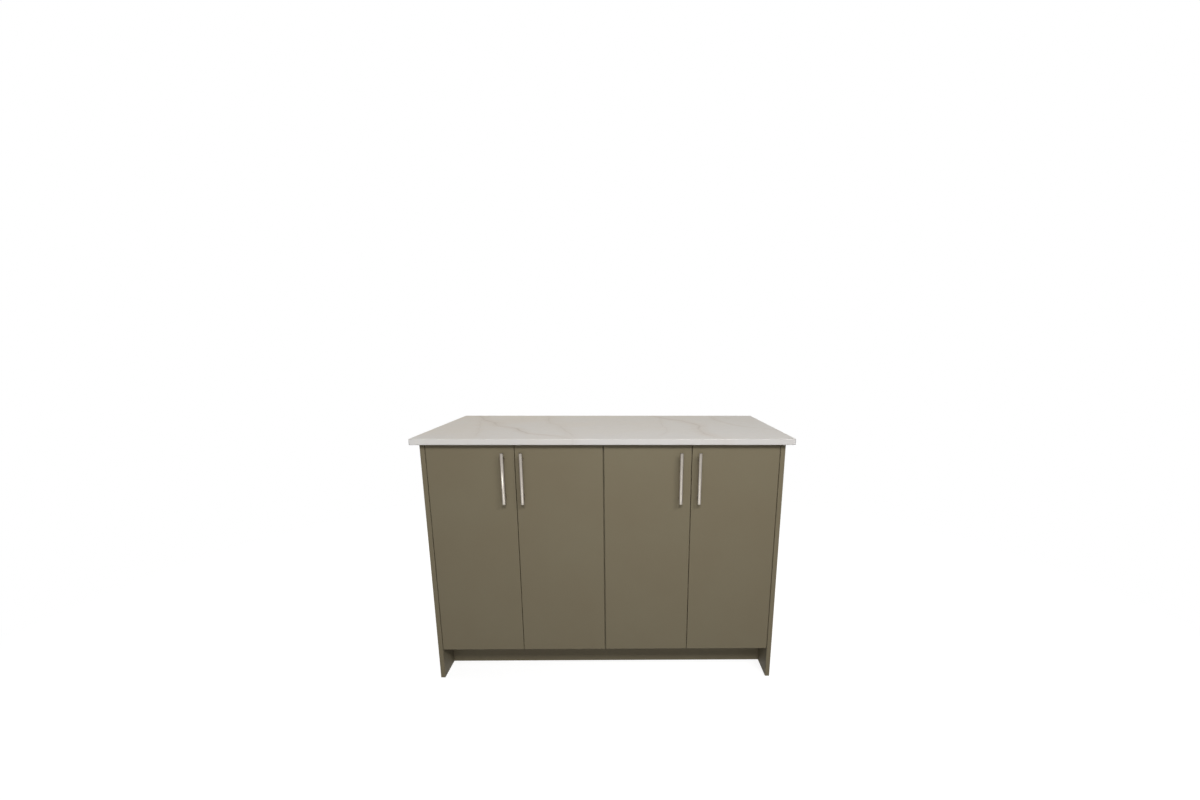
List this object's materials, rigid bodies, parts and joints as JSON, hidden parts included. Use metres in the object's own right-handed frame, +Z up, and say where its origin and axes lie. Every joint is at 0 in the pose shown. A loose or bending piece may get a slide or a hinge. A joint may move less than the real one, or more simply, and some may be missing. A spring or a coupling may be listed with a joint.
{
  "type": "kitchen island unit",
  "caption": "Kitchen island unit with paired slab doors on concealed hinges, bar handles, recessed plinth on levelling legs and an overhanging stone worktop.",
  "frame": {"origin": "on the floor under the middle of the whole unit, worktop and handles included", "axes": "+Z up, +X to the right as seen from the doors, doors face -Y"},
  "size_m": [1.272, 0.671, 0.896],
  "materials": {
    "painted_board": "matt lacquer",
    "melamine_board": "fine-pearl melamine",
    "melamine_back": "smooth white coated hardboard",
    "stone": "polished engineered stone",
    "brushed_nickel": "brushed nickel",
    "hinge_steel": "nickel-plated pressed steel",
    "zinc_fasteners": "zinc-plated steel",
    "black_plastic": "moulded polypropylene",
    "bumper": "clear soft polyurethane"
  },
  "bodies": {
    "cabinet": {"worktop": "stone", "left_end_panel": "painted_board", "right_end_panel": "painted_board", "back_panel": "painted_board", "plinth": "painted_board", "plinth_clips": "black_plastic", "left_cabinet_outer_side": "melamine_board", "left_cabinet_inner_side": "melamine_board", "left_cabinet_base": "melamine_board", "left_cabinet_back": "melamine_back", "left_cabinet_front_rail": "melamine_board", "left_cabinet_back_rail": "melamine_board", "left_cabinet_shelf": "melamine_board", "right_cabinet_outer_side": "melamine_board", "right_cabinet_inner_side": "melamine_board", "right_cabinet_base": "melamine_board", "right_cabinet_back": "melamine_back", "right_cabinet_front_rail": "melamine_board", "right_cabinet_back_rail": "melamine_board", "right_cabinet_shelf": "melamine_board", "shelf_pins": "zinc_fasteners", "leg_sockets": "black_plastic", "leg_feet": "black_plastic", "hinge_arms": "hinge_steel", "hinge_plates": "hinge_steel", "cabinet_bolts": "zinc_fasteners", "carcass_screws": "zinc_fasteners", "panel_screws": "zinc_fasteners"},
    "inner_link_1": {"inner_links_1": "hinge_steel"},
    "outer_link_1": {"outer_links_1": "hinge_steel"},
    "door_1": {"door_1": "painted_board", "handle_bar_1": "brushed_nickel", "handle_posts_1": "brushed_nickel", "handle_screws_1": "zinc_fasteners", "hinge_cups_1": "hinge_steel", "bumpers_1": "bumper"},
    "inner_link_2": {"inner_links_2": "hinge_steel"},
    "outer_link_2": {"outer_links_2": "hinge_steel"},
    "door_2": {"door_2": "painted_board", "handle_bar_2": "brushed_nickel", "handle_posts_2": "brushed_nickel", "handle_screws_2": "zinc_fasteners", "hinge_cups_2": "hinge_steel", "bumpers_2": "bumper"},
    "inner_link_3": {"inner_links_3": "hinge_steel"},
    "outer_link_3": {"outer_links_3": "hinge_steel"},
    "door_3": {"door_3": "painted_board", "handle_bar_3": "brushed_nickel", "handle_posts_3": "brushed_nickel", "handle_screws_3": "zinc_fasteners", "hinge_cups_3": "hinge_steel", "bumpers_3": "bumper"},
    "inner_link_4": {"inner_links_4": "hinge_steel"},
    "outer_link_4": {"outer_links_4": "hinge_steel"},
    "door_4": {"door_4": "painted_board", "handle_bar_4": "brushed_nickel", "handle_posts_4": "brushed_nickel", "handle_screws_4": "zinc_fasteners", "hinge_cups_4": "hinge_steel", "bumpers_4": "bumper"}
  },
  "joints": [
    {"name": "door_1_swing", "type": "hinge", "parent": "inner_link_1", "child": "door_1", "pos_m": [-0.5835, -0.2907, 0.49375], "axis": [0, 0, -1], "range_deg": [0, 122.76]},
    {"name": "inner_link_1_turn", "type": "hinge", "parent": "cabinet", "child": "inner_link_1", "pos_m": [-0.5686, -0.2705, 0.49375], "axis": [0, 0, 1], "range_deg": [0, 29.86]},
    {"name": "outer_link_1_turn", "type": "hinge", "parent": "cabinet", "child": "outer_link_1", "pos_m": [-0.5648, -0.2798, 0.49375], "axis": [0, 0, 1], "range_deg": [0, 16.84]},
    {"name": "door_2_swing", "type": "hinge", "parent": "inner_link_2", "child": "door_2", "pos_m": [-0.0105, -0.2907, 0.49375], "axis": [0, 0, 1], "range_deg": [0, 110.88]},
    {"name": "inner_link_2_turn", "type": "hinge", "parent": "cabinet", "child": "inner_link_2", "pos_m": [-0.0254, -0.2705, 0.49375], "axis": [0, 0, -1], "range_deg": [0, 26.98]},
    {"name": "outer_link_2_turn", "type": "hinge", "parent": "cabinet", "child": "outer_link_2", "pos_m": [-0.0292, -0.2798, 0.49375], "axis": [0, 0, -1], "range_deg": [0, 15.22]},
    {"name": "door_3_swing", "type": "hinge", "parent": "inner_link_3", "child": "door_3", "pos_m": [0.0105, -0.2907, 0.49375], "axis": [0, 0, -1], "range_deg": [0, 110.88]},
    {"name": "inner_link_3_turn", "type": "hinge", "parent": "cabinet", "child": "inner_link_3", "pos_m": [0.0254, -0.2705, 0.49375], "axis": [0, 0, 1], "range_deg": [0, 26.98]},
    {"name": "outer_link_3_turn", "type": "hinge", "parent": "cabinet", "child": "outer_link_3", "pos_m": [0.0292, -0.2798, 0.49375], "axis": [0, 0, 1], "range_deg": [0, 15.22]},
    {"name": "door_4_swing", "type": "hinge", "parent": "inner_link_4", "child": "door_4", "pos_m": [0.5835, -0.2907, 0.49375], "axis": [0, 0, 1], "range_deg": [0, 122.76]},
    {"name": "inner_link_4_turn", "type": "hinge", "parent": "cabinet", "child": "inner_link_4", "pos_m": [0.5686, -0.2705, 0.49375], "axis": [0, 0, -1], "range_deg": [0, 29.86]},
    {"name": "outer_link_4_turn", "type": "hinge", "parent": "cabinet", "child": "outer_link_4", "pos_m": [0.5648, -0.2798, 0.49375], "axis": [0, 0, -1], "range_deg": [0, 16.84]}
  ],
  "couplings": [
    {"joint": "inner_link_1_turn", "follows": "door_1_swing", "ratio": 0.24242},
    {"joint": "outer_link_1_turn", "follows": "door_1_swing", "ratio": 0.13636},
    {"joint": "inner_link_2_turn", "follows": "door_2_swing", "ratio": 0.24242},
    {"joint": "outer_link_2_turn", "follows": "door_2_swing", "ratio": 0.13636},
    {"joint": "inner_link_3_turn", "follows": "door_3_swing", "ratio": 0.24242},
    {"joint": "outer_link_3_turn", "follows": "door_3_swing", "ratio": 0.13636},
    {"joint": "inner_link_4_turn", "follows": "door_4_swing", "ratio": 0.24242},
    {"joint": "outer_link_4_turn", "follows": "door_4_swing", "ratio": 0.13636}
  ]
}
